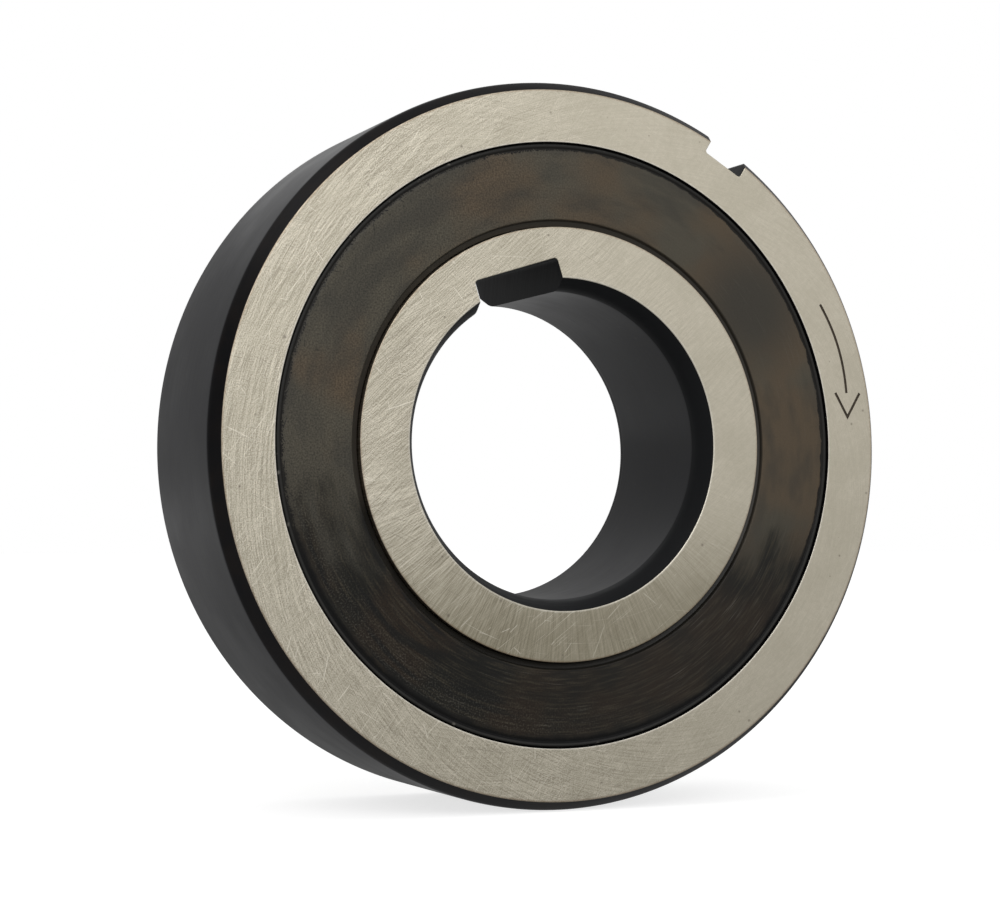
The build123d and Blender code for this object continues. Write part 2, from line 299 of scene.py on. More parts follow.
def joined(tree, *numbers):
    """Vector of three numbers."""
    return put(tree, "ShaderNodeCombineXYZ", dict(enumerate(numbers))).outputs[0]


def rotated(tree, vector, angle):
    """Vector turned about its third axis."""
    inputs = {"Vector": vector, "Angle": angle}
    return put(tree, "ShaderNodeVectorRotate", inputs, rotation_type="Z_AXIS").outputs[0]


def in_mm(tree, place, stretch=(1.0, 1.0, 1.0)):
    """Place in millimetres, multiplied along each axis by its stretch."""
    return vector_calc(tree, "MULTIPLY", place, tuple(share / MM for share in stretch))


def noise(tree, vector, scale=1.0, detail=2.0, **settings):
    """Value of a noise texture."""
    inputs = {"Vector": vector, "Scale": scale, "Detail": detail}
    return put(tree, "ShaderNodeTexNoise", inputs, **settings).outputs["Fac"]


def flat_noise(tree, flat, scale, detail):
    """Value of a noise texture over a flat place."""
    return noise(tree, flat, scale, detail, noise_dimensions="2D")


def scattered(tree, vector, cell, **settings):
    """Scattered points, one to a cell: distance to the nearest, its three chances and its place."""
    inputs = {"Vector": vector, "Scale": calc(tree, "DIVIDE", 1.0, cell)}
    cells = put(tree, "ShaderNodeTexVoronoi", inputs, **settings).outputs
    chances = put(tree, "ShaderNodeSeparateColor", {0: cells["Color"]}).outputs
    return cells["Distance"], chances, cells["Position"]


def effect(name, inputs, outputs):
    """Empty node group with named inputs and outputs, returned with its inside ends."""
    group = bpy.data.node_groups.new(name, "ShaderNodeTree")
    for in_out, sockets in (("INPUT", inputs), ("OUTPUT", outputs)):
        for label, kind in sockets.items():
            group.interface.new_socket(label, in_out=in_out, socket_type=f"NodeSocket{kind}")
    return group, put(group, "NodeGroupInput").outputs, put(group, "NodeGroupOutput").inputs


def use(tree, group, inputs):
    """Outputs of a node group placed with these inputs."""
    return put(tree, "ShaderNodeGroup", inputs, node_tree=group).outputs


def new_finish(name, roughness=0.5, specular=0.5, metallic=0.0):
    """Material with one Principled surface, returned with its tree, surface and Object coordinates."""
    material = bpy.data.materials.new(name)
    material.use_nodes = True
    tree = material.node_tree
    tree.nodes.clear()
    inputs = {"Roughness": roughness, "Specular IOR Level": specular, "Metallic": metallic}
    surface = put(tree, "ShaderNodeBsdfPrincipled", inputs)
    put(tree, "ShaderNodeOutputMaterial", {"Surface": surface.outputs[0]})
    place = put(tree, "ShaderNodeTexCoord").outputs["Object"]
    return material, tree, surface, place


def drive(tree, surface, **sockets):
    """Links sockets to the surface's inputs, with spaces written as underscores."""
    for name, socket in sockets.items():
        tree.links.new(socket, surface.inputs[name.replace("_", " ")])


def bump(tree, height, strength, distance):
    """Normal bent by a height, whose full range is the distance in metres."""
    inputs = {"Height": height, "Strength": strength, "Distance": distance}
    return put(tree, "ShaderNodeBump", inputs).outputs["Normal"]


# Place in millimetres, laid flat across the axis, with its radius and its heading about a centre
tree, given, gives = effect(
    "place_round_axis",
    {"Place": "Vector", "Centre": "Vector"},
    {"Radius": "Float", "Heading": "Vector", "Flat": "Vector"},
)
sideways, _, height = axes(tree, in_mm(tree, given["Place"]))
flat = joined(tree, sideways, height, 0.0)
arm = vector_calc(tree, "SUBTRACT", flat, given["Centre"])
tree.links.new(vector_calc(tree, "LENGTH", arm), gives["Radius"])
tree.links.new(vector_calc(tree, "NORMALIZE", arm), gives["Heading"])
tree.links.new(flat, gives["Flat"])
polar_group = tree

# Noise drawn out round the axis: Along is its scale for each radian, Across for each millimetre of depth
tree, given, gives = effect(
    "ring_noise",
    {"Heading": "Vector", "Depth": "Float", "Along": "Float", "Across": "Float", "Detail": "Float"},
    {"Value": "Float"},
)
level = joined(tree, 0.0, 0.0, product(tree, given["Depth"], given["Across"]))
drawn = vector_calc(tree, "ADD", vector_calc(tree, "MULTIPLY", given["Heading"], given["Along"]), level)
tree.links.new(noise(tree, drawn, detail=given["Detail"]), gives["Value"])
ring_noise_group = tree

# Straight marks of a grinding pass: noise drawn out along one direction
tree, given, gives = effect(
    "grinding_marks",
    {"Flat": "Vector", "Direction": "Float", "Length": "Float", "Spacing": "Float"},
    {"Marks": "Float"},
)
steps = joined(tree, given["Length"], given["Spacing"], 1.0)
drawn = vector_calc(tree, "DIVIDE", rotated(tree, given["Flat"], given["Direction"]), steps)
tree.links.new(flat_noise(tree, drawn, 1.0, 1.0), gives["Marks"])
marks_group = tree

# Single hairline scratches: one short, slightly bent line in each cell of a scattered pattern
tree, given, gives = effect(
    "hairline_scratches",
    {"Flat": "Vector", "Cell": "Float", "Width": "Float", "Shift": "Float"},
    {"Scratch": "Float", "Tone": "Float"},
)
shifted = vector_calc(tree, "ADD", given["Flat"], given["Shift"])
_, chance, middle = scattered(tree, shifted, given["Cell"], voronoi_dimensions="2D")
arm = vector_calc(tree, "SUBTRACT", shifted, middle)
along, aside, _ = axes(tree, rotated(tree, arm, product(tree, chance[0], math.tau)))
bend = product(tree, along, along, 0.02)
side_gap = calc(tree, "ABSOLUTE", calc(tree, "SUBTRACT", aside, bend))
tip = product(tree, given["Cell"], calc(tree, "MULTIPLY_ADD", chance[1], 0.3, 0.12))
end_fade = fade(tree, calc(tree, "ABSOLUTE", along), tip, product(tree, tip, 0.6))
scratch = product(tree, fade(tree, side_gap, given["Width"], 0.0), end_fade)
tree.links.new(scratch, gives["Scratch"])
tree.links.new(chance[2], gives["Tone"])
hairline_group = tree

# Small dark specks scattered over a surface, few of them near the full size
tree, given, gives = effect(
    "specks", {"Place": "Vector", "Cell": "Float", "Size": "Float"}, {"Speck": "Float"}
)
gap, chance, _ = scattered(tree, given["Place"], given["Cell"])
span = product(tree, calc(tree, "DIVIDE", given["Size"], given["Cell"]), chance[0], chance[1])
tree.links.new(fade(tree, gap, span, 0.0), gives["Speck"])
speck_group = tree


def ring_noise(tree, where, depth, along, across, detail=3.0):
    """Value of the noise drawn out round the axis."""
    inputs = {"Heading": where["Heading"], "Depth": depth, "Along": along, "Across": across}
    return use(tree, ring_noise_group, {**inputs, "Detail": detail})["Value"]


def hairlines(tree, flat, cell, width, shift):
    """Share and tone of the hairline scratches, one to a cell, in millimetres."""
    found = use(tree, hairline_group, {"Flat": flat, "Cell": cell, "Width": width, "Shift": shift})
    return found["Scratch"], found["Tone"]


def specks(tree, place, cell, size):
    """Share of the specks, one to a cell, in millimetres."""
    return use(tree, speck_group, {"Place": place, "Cell": cell, "Size": size})["Speck"]


def ground_steel(name, lean, sweeps, rubbed, stain_and_shade, edges):
    """Bright ground face: fine marks of several passes, long scratches, loose hairlines, and a brown stain
    at the bottom that is also painted shade, crisp on the side that is handled most and polished smooth
    on the other. lean turns the straight marks, and sweeps lists the centres of curved ones. rubbed is how
    far the bottom is streaked across the ring. stain_and_shade gives where the stain and painted shade at
    the bottom start and end, by height and a share of the sideways place, and their strength. edges lists
    the radius, colour and strength of each ragged edge."""
    material, tree, surface, place = new_finish(name, metallic=1.0)
    where = use(tree, polar_group, {"Place": place})
    flat = where["Flat"]
    sideways, height, _ = axes(tree, flat)
    sweep_radius = 21.0  # about how far the face lies from a sweep's centre

    def straight(direction, length, spacing):
        """Marks of a straight pass, its direction counted from the lean."""
        inputs = {"Flat": flat, "Direction": lean + direction, "Length": length, "Spacing": spacing}
        return use(tree, marks_group, inputs)["Marks"]

    def curved(centre, length, spacing):
        """Marks of a pass swept round a centre."""
        about = use(tree, polar_group, {"Place": place, "Centre": (*centre, 0.0)})
        return ring_noise(tree, about, about["Radius"], sweep_radius / length, 1 / spacing, detail=1.0)

    # How much the face is worn and handled, and where it is cloudy
    patch = flat_noise(tree, flat, 0.28, 3.0)
    clouding = flat_noise(tree, flat, 2.6, 3.0)
    worn = noise(tree, vector_calc(tree, "ADD", flat, (11.0, 5.0, 0.0)), 0.16, 2.0)
    handled = blend(tree, (sideways, 1.0), (height, 0.25), (worn, -6.0))
    handled = fade(tree, handled, 9.0, -13.0, 0.14, 1.0)

    # Fine marks of all passes together
    marks = blend(
        tree,
        (straight(0.0, 4.5, 0.052), 0.5),
        (straight(0.3, 3.0, 0.055), 0.34),
        (straight(1.35, 1.6, 0.05), 0.16),
    )
    for centre in sweeps:
        marks = eased(tree, 0.45, marks, curved(centre, 2.2, 0.055))
    marks = eased(tree, 0.3, marks, flat_noise(tree, flat, 13.0, 1.0))
    streaked = fade(tree, height, 2.0, -10.0, 0.05, rubbed)
    marks = eased(tree, streaked, marks, ring_noise(tree, where, where["Radius"], 150.0, 0.5))
    marks = calc(tree, "MULTIPLY_ADD", centred(tree, marks), handled, 0.5)

    # Long scratches and loose hairlines, some bright and some dark
    bright = fade(tree, straight(0.15, 5.0, 0.06), 0.70, 0.84)
    bright = calc(tree, "MAXIMUM", bright, fade(tree, curved((1.0, 2.0), 6.0, 0.06), 0.70, 0.84))
    dark = fade(tree, straight(0.1, 7.0, 0.07), 0.70, 0.82)
    dark = calc(tree, "MAXIMUM", dark, fade(tree, straight(1.25, 6.0, 0.07), 0.70, 0.82))
    dark = product(tree, dark, fade(tree, worn, 0.40, 0.58))
    for cell, width, shift in ((1.1, 0.035, 3.0), (2.3, 0.04, 17.0), (4.6, 0.05, 29.0)):
        scratch, tone = hairlines(tree, flat, cell, width, shift)
        bright = calc(tree, "MAXIMUM", bright, product(tree, scratch, fade(tree, tone, 0.5, 1.0)))
        dark = calc(tree, "MAXIMUM", dark, product(tree, scratch, fade(tree, tone, 0.2, 0.0)))
    bright = product(tree, bright, handled)
    dark = product(tree, dark, handled)

    hollow = (0.29, 0.262, 0.204, 1)
    ridge = (0.715, 0.664, 0.549, 1)
    dulled = (0.20, 0.18, 0.14, 1)
    hazed = (0.39, 0.36, 0.28, 1)
    stain_and_shade_brown = (0.18, 0.160, 0.105, 1)
    fresh_scratch = (0.88, 0.83, 0.72, 1)
    dirty_scratch = (0.13, 0.115, 0.09, 1)
    pit = (0.08, 0.06, 0.05, 1)
    # Brown stain and painted shade together: the face grows darker and browner towards its bottom
    aside, start, end, strength = stain_and_shade
    low = blend(tree, (height, 1.0), (sideways, aside), (patch, 4.0))
    colour = layered(
        tree,
        tint(tree, fade(tree, marks, 0.365, 0.635), hollow, ridge),
        (fade(tree, handled, 0.3, 1.0, 0.0, 0.07), dulled),
        (fade(tree, patch, 0.35, 0.7, 0.0, 0.25), hazed),
        (fade(tree, clouding, 0.36, 0.64, 0.0, 0.18), hazed),
        (fade(tree, low, start, end, 0.0, strength), stain_and_shade_brown),
        (product(tree, bright, 0.6), fresh_scratch),
        (product(tree, dark, 0.45), dirty_scratch),
        (product(tree, specks(tree, flat, 0.9, 0.22), 0.6), pit),
    )
    ragged = flat_noise(tree, flat, 5.0, 3.0)
    for edge, edge_colour, amount in edges:
        gap = calc(tree, "ABSOLUTE", calc(tree, "SUBTRACT", where["Radius"], edge))
        gap = calc(tree, "MULTIPLY_ADD", ragged, -0.16, gap)
        colour = tint(tree, fade(tree, gap, 0.06, -0.05, 0.0, amount), colour, edge_colour)

    mark_depth = 0.000004
    rough = fade(tree, marks, 0.3, 0.7, 0.44, 0.34)
    relief = calc(tree, "SUBTRACT", calc(tree, "ADD", marks, bright), dark)
    drive(tree, surface, Base_Color=colour, Roughness=rough, Normal=bump(tree, relief, 0.15, mark_depth))
    return material


def satin_oxide():
    """Satin black oxide on a ground round surface: very fine lines round the axis, cloudy tone, a few
    specks and smears."""
    material, tree, surface, place = new_finish("satin_black_oxide", specular=0.3)
    where = use(tree, polar_group, {"Place": place})
    solid = in_mm(tree, place)
    depth = axes(tree, solid)[1]
    lines = ring_noise(tree, where, depth, 3.0, 14.0)
    smear = ring_noise(tree, where, depth, 14.0, 0.9)
    cloud = noise(tree, solid, 0.25, 4.0)
    dark_cloud = (0.010, 0.0105, 0.0125, 1)
    light_cloud = (0.016, 0.016, 0.0185, 1)
    speck_tone = (0.003, 0.003, 0.003, 1)
    smear_tone = (0.05, 0.05, 0.052, 1)
    colour = layered(
        tree,
        tint(tree, fade(tree, cloud, 0.3, 0.7), dark_cloud, light_cloud),
        (product(tree, specks(tree, solid, 2.6, 0.45), 0.8), speck_tone),
        (fade(tree, smear, 0.66, 0.80, 0.0, 0.5), smear_tone),
    )
    rough = fade(tree, cloud, 0.3, 0.7, 0.30, 0.36)
    rough = calc(tree, "ADD", rough, fade(tree, lines, 0.3, 0.7, -0.02, 0.02))
    line_depth = 0.000003
    drive(tree, surface, Base_Color=colour, Roughness=rough, Normal=bump(tree, lines, 0.1, line_depth))
    return material


def turned_oxide():
    """Black oxide on turned and cut surfaces: deeper black, with turning lines and a brown cast in
    places, and a paler tone towards the bore."""
    material, tree, surface, place = new_finish("turned_black_oxide", specular=0.14)
    where = use(tree, polar_group, {"Place": place})
    solid = in_mm(tree, place)
    lines = ring_noise(tree, where, calc(tree, "ADD", where["Radius"], axes(tree, solid)[1]), 5.0, 8.0)
    cloud = noise(tree, solid, 0.6, 3.0)
    deep_black = (0.0050, 0.0048, 0.0055, 1)
    brown_black = (0.0085, 0.0065, 0.006, 1)
    bore_black = (0.012, 0.0125, 0.0135, 1)
    colour = tint(tree, fade(tree, cloud, 0.35, 0.75), deep_black, brown_black)
    colour = tint(tree, fade(tree, where["Radius"], 20.0, 12.0), colour, bore_black)
    rough = fade(tree, lines, 0.3, 0.7, 0.40, 0.50)
    line_depth = 0.000008
    drive(tree, surface, Base_Color=colour, Roughness=rough, Normal=bump(tree, lines, 0.3, line_depth))
    return material


groove_centre = outer_groove_bottom - groove_radius
corners = [
    ((seat_mouth, -half_width, 0), edge_break),
    ((seat_mouth + face_band, -half_width, 0), 0),
    ((face_outer - face_band, -half_width, face_band), 0),
    ((face_outer, -half_width, 0), edge_break),
    ((outer_radius, outside_chamfer_along - half_width, 0), outside_corner),
    ((outer_radius, half_width - outside_chamfer_along, 0), outside_corner),
    ((face_outer, half_width, 0), edge_break),
    ((face_outer - face_band, half_width, face_band), 0),
    ((seat_mouth + face_band, half_width, 0), 0),
    ((seat_mouth, half_width, 0), edge_break),
    ((seat_mouth, half_width - seat_mouth_depth, 0), edge_break),
    ((seat_undercut, half_width - seat_mouth_depth - seat_ramp, 0), edge_break),
    ((seat_undercut, seat_floor, 0), seat_corner),
    ((shoulder_radius, seat_floor, 0), seat_corner),
    *(((radius, station, 0), 0) for radius, station in groove_arc(groove_centre, 0, shoulder_radius)),
    ((shoulder_radius, race_end, 0), edge_break),
    ((race_radius, race_end, 0), 0),
    ((race_radius, -seat_floor, 0), edge_break),
    ((seat_undercut, -seat_floor, 0), seat_corner),
    ((seat_undercut, seat_mouth_depth + seat_ramp - half_width, 0), edge_break),
    ((seat_mouth, seat_mouth_depth - half_width, 0), edge_break),
]
outer_profile = rounded(*zip(*corners))
keyseat = slot_from(
    mounts["outer_keyseat"], width=3.0, corner=0.2, lip=0.3, side=-1, rim=outer_radius, edge=face_outer
)
cut_by_keyseat = outer_profile[:, 0] > face_outer - slotted_band
outer_points = slotted_ring(outer_profile, cut_by_keyseat, keyseat, spread=math.radians(4))

ground_slot, satin_slot, cut_slot = 0, 1, 2  # places of the three finishes in a ring's list of materials
end_skin = 0.1  # how near to a ring's end a mesh face can count as ground
round_skin = 0.02  # how near to a cylinder it counts as part of it
race_margin = 0.2  # from the seat's mouth or the groove's bottom, where the finish of the races starts


def on_an_end(centre, normal, upright):
    """Which faces of a mesh lie on a ring's ground ends: near them, and turned more than upright along
    the axis."""
    return (np.abs(normal[:, 1]) > upright) & (np.abs(centre[:, 1]) > half_width - end_skin)


def outer_finish(centre, normal):
    """Ground on both faces and in the races, satin black outside, deep black on chamfers and in the
    keyseat."""
    radius = np.hypot(centre[:, 0], centre[:, 2])
    ground = on_an_end(centre, normal, upright=0.72) | (radius < seat_mouth - race_margin)
    satin = radius > outer_radius - round_skin
    return np.select([ground, satin], [ground_slot, satin_slot], cut_slot)


outer_ring = grid_mesh("outer_ring_body", outer_points, outer_finish)
rust = (0.20, 0.115, 0.06, 1)
# Bare worn steel at the bore and seat edges, made brighter as a painted glint along them
bare_edge_and_glint = (0.80, 0.77, 0.70, 1)
outer_ground = ground_steel(
    "ground_outer_face",
    lean=-1.08,
    sweeps=[(-5.0, -3.0), (6.9, -3.0)],
    rubbed=0.1,
    # brown stain and painted shade towards the bottom of the face
    stain_and_shade=(0.0, -8.0, -21.0, 0.09),
    edges=[(face_outer, rust, 0.35), (seat_mouth, bare_edge_and_glint, 0.4)],
)
ring_oxide = satin_oxide()
cut_oxide = turned_oxide()
for material in (outer_ground, ring_oxide, cut_oxide):
    outer_ring.data.materials.append(material)

# ---- Direction arrow ----
# A shallow mark cut into the front face by laser, brown-black inside: a line along the ring and an open
# head. It shows which way the outer ring may turn.

arrow_radius = 21.25  # at both ends of the line
arrow_bow = 0.17  # how far the middle of the line stands out
arrow_start, arrow_end = math.radians(62.7), math.radians(79.7)  # clockwise from the top
arrow_head = [(20.04, 3.80), (20.98, 2.18), (21.93, 3.81)]  # one barb's end, the tip, the other's end
arrow_line = 0.18
arrow_depth = 0.06
arrow_points = 24


def stroke(path, width):
    """Both sides of a line through the points of a path, half a width away on each side. At a bend the
    offset runs along the mean of the two normals, lengthened so that both sides keep their distance."""
    path = np.asarray(path, float)
    step = np.diff(path, axis=0)
    normal = np.column_stack([-step[:, 1], step[:, 0]]) / np.linalg.norm(step, axis=1, keepdims=True)
    first = np.vstack([normal[:1], normal])
    last = np.vstack([normal, normal[-1:]])
    mitre = (first + last) / (1 + (first * last).sum(axis=1, keepdims=True))
    return path + mitre * width / 2, path - mitre * width / 2


def bar(left, right, top, bottom):
    """Points and faces of a bar between two lines across the axis, from one station to another."""
    n = len(left)
    lines = [(left, top), (right, top), (right, bottom), (left, bottom)]
    points = [np.column_stack([line[:, 0], np.full(n, station), line[:, 1]]) for line, station in lines]
    index = np.arange(4 * n).reshape(4, n)
    after = np.roll(index, -1, axis=0)
    faces = np.stack([index[:, :-1], after[:, :-1], after[:, 1:], index[:, 1:]], axis=-1).reshape(-1, 4)
    return np.vstack(points), np.vstack([faces, index[:, 0], index[::-1, -1]])


turn = np.linspace(arrow_start, arrow_end, arrow_points)
bow = arrow_radius + arrow_bow * np.sin(np.linspace(0, math.pi, arrow_points))
shaft = np.column_stack([bow * np.sin(turn), bow * np.cos(turn)])
cutter_points, cutter_faces = [], []
for path in (shaft, arrow_head):
    points, faces = bar(*stroke(path, arrow_line), -half_width - arrow_depth, arrow_depth - half_width)
    cutter_faces += (faces + sum(map(len, cutter_points))).tolist()
    cutter_points.append(points)
cutter_mesh = bpy.data.meshes.new("arrow_cutter")
cutter_mesh.from_pydata((np.vstack(cutter_points) * MM).tolist(), [], cutter_faces)
work = bmesh.new()
work.from_mesh(cutter_mesh)
bmesh.ops.recalc_face_normals(work, faces=work.faces)
work.to_mesh(cutter_mesh)
work.free()
cutter = new_object("arrow_cutter", cutter_mesh)

material, tree, surface, place = new_finish("laser_mark", roughness=0.6, specular=0.25)
burnt = (0.030, 0.022, 0.015, 1)
ashen = (0.085, 0.066, 0.045, 1)
cloud = noise(tree, in_mm(tree, place), 5.0, 3.0)
burn_depth = 0.00001
drive(tree, surface, Base_Color=tint(tree, cloud, burnt, ashen), Normal=bump(tree, cloud, 0.5, burn_depth))
cutter_mesh.materials.append(material)

cut = outer_ring.modifiers.new("arrow", "BOOLEAN")
cut.operation = "DIFFERENCE"
cut.solver = "EXACT"
cut.material_mode = "TRANSFER"
cut.object = cutter
seen = outer_ring.evaluated_get(bpy.context.evaluated_depsgraph_get())
marked = bpy.data.meshes.new_from_object(seen)
outer_ring.modifiers.clear()
outer_ring.data = marked
bpy.data.objects.remove(cutter)
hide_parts("outer_ring")
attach(outer_ring, "outer_ring")

# ---- Inner ring ----
# A hardened steel ring that goes on the shaft: ground faces, black bore with long chamfers and a keyway,
# and outside a ground land for the sprags and seal lips beside one ball groove.

bore_radius = mounts["bore"]["dims"]["r_mm"]
bore_chamfer_along = half_width - mounts["bore"]["dims"]["length_mm"] / 2
bore_chamfer_across = 0.72
bore_corner = 0.6  # how far the rounding reaches where the bore meets its chamfers
bore_mouth = bore_radius + bore_chamfer_across
land_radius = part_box("inner_ring")[1].x / MM
inner_groove_bottom = ball_low.z - ball_gap
groove_centre = inner_groove_bottom + groove_radius
groove = groove_arc(groove_centre, math.pi, land_radius)[::-1]
corners = [
    ((bore_mouth + face_band, -half_width, face_band), 0),
    ((bore_mouth, -half_width, 0), edge_break),
    ((bore_radius, bore_chamfer_along - half_width, 0), bore_corner),
    ((bore_radius, half_width - bore_chamfer_along, 0), bore_corner),
    ((bore_mouth, half_width, 0), edge_break),
    ((bore_mouth + face_band, half_width, face_band), 0),
    ((land_radius - face_band, half_width, 0), 0),
    ((land_radius, half_width, 0), edge_break),
    *(((radius, station, 0), 0) for radius, station in groove),
    ((land_radius, -half_width, 0), edge_break),
    ((land_radius - face_band, -half_width, 0), 0),
]
inner_profile = rounded(*zip(*corners))
keyway = slot_from(mounts["inner_keyway"], width=6.0, corner=0.25, lip=0, side=1, edge=bore_mouth)
cut_by_keyway = inner_profile[:, 0] < bore_mouth + slotted_band
inner_points = slotted_ring(inner_profile, cut_by_keyway, keyway)


def inner_finish(centre, normal):
    """Ground on both faces, the land and the groove, satin black in the bore, deep black on chamfers and
    keyway."""
    radius = np.hypot(centre[:, 0], centre[:, 2])
    ground = on_an_end(centre, normal, upright=0.6) | (radius > inner_groove_bottom - race_margin)
    faces_the_axis = np.abs(normal[:, 1]) < 0.3
    satin = (radius < bore_radius + round_skin) & faces_the_axis
    return np.select([ground, satin], [ground_slot, satin_slot], cut_slot)


inner_ring = grid_mesh("inner_ring_body", inner_points, inner_finish)
inner_ground = ground_steel(
    "ground_inner_face",
    lean=-0.80,
    sweeps=[],
    rubbed=0.6,
    # brown stain and strong painted shade towards the bottom of the face
    stain_and_shade=(-0.05, -1.5, -11.0, 0.64),
    edges=[(bore_mouth, bare_edge_and_glint, 0.3), (land_radius, rust, 0.35)],
)
for material in (inner_ground, ring_oxide, cut_oxide):
    inner_ring.data.materials.append(material)
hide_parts("inner_ring")
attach(inner_ring, "inner_ring")

# ---- Seals ----
# Black rubber moulded round a steel washer and snapped into the outer ring's seat, with a round bead and a
# crease near its outer edge, a smoky face that thins and darkens towards the bottom, partly wiped and
# partly painted shade, and a thin lip on the inner ring.

seal_face = half_width - 0.12
seal_rim = seat_undercut - seal_clearance
bead_radius = seat_mouth - 0.07
bead_width = 0.28
bead_rise = 0.03  # above the seal's face
bead_inner = bead_radius - bead_width
crease_width = 0.12
crease_depth = 0.06
crease_inner = bead_inner - crease_width
throat_radius = land_radius + 0.42
pocket_outer = bead_radius - 0.225  # the pocket holds the washer
pocket_inner = throat_radius + 0.45
pocket_depth = 0.38
lip_root = throat_radius + 0.225
lip_radius = land_radius + 0.05
lip_front = seal_face - 0.38
lip_back = seat_floor + 0.28
lip_ledge = seal_face - 0.26
seal_sway = 0.004


def seal_profile(side):
    """Closed outline of the rubber at one end, side being the sign of its station. Each corner is listed
    with how far its rounding reaches."""
    corners = [
        ((throat_radius, seal_face - 0.15), 0.05),
        ((throat_radius + 0.08, seal_face), 0.06),
        ((crease_inner - 0.12, seal_face), 0.1),
        ((crease_inner + 0.03, seal_face - crease_depth), 0.03),
        ((bead_inner - 0.03, seal_face - crease_depth), 0.03),
        ((bead_inner + 0.02, seal_face), 0.1),
        ((bead_radius - 0.04, seal_face + bead_rise), 0.12),
        ((bead_radius, seal_face - 0.2), 0.08),
        ((bead_radius, half_width - seat_mouth_depth - seal_clearance), 0.05),
        ((seal_rim, half_width - seat_mouth_depth - seat_ramp - seal_clearance), 0.08),
        ((seal_rim, seat_floor), 0.05),
        ((pocket_outer, seat_floor), 0),
        ((pocket_outer, seat_floor + pocket_depth), 0),
        ((pocket_inner, seat_floor + pocket_depth), 0),
        ((pocket_inner, seat_floor), 0),
        ((lip_root, seat_floor), 0.05),
        ((lip_radius, lip_back), 0.05),
        ((lip_radius, lip_front), 0.05),
        ((throat_radius, lip_ledge), 0.05),
    ]
    points, reach = zip(*corners)
    return rounded(np.array(points) * (1, side), reach)


def revolved(profile, sway):
    """Grid of points of a profile turned about Y. sway moves each row's station by a slow wave round the
    axis, which is the sum of three sines whose phases shift with the radius."""
    radius, station = profile[:, :1], profile[:, 1:2]
    angle = np.linspace(0, 2 * math.pi, columns_round, endpoint=False)[None, :]
    wave = np.sin(3 * angle + radius)
    wave = wave + 0.6 * np.sin(7 * angle - 2 * radius) + 0.4 * np.sin(17 * angle + 3 * radius)
    x, z = radius * np.sin(angle), radius * np.cos(angle)
    return np.stack([x, station + sway * wave, z], axis=-1) * MM


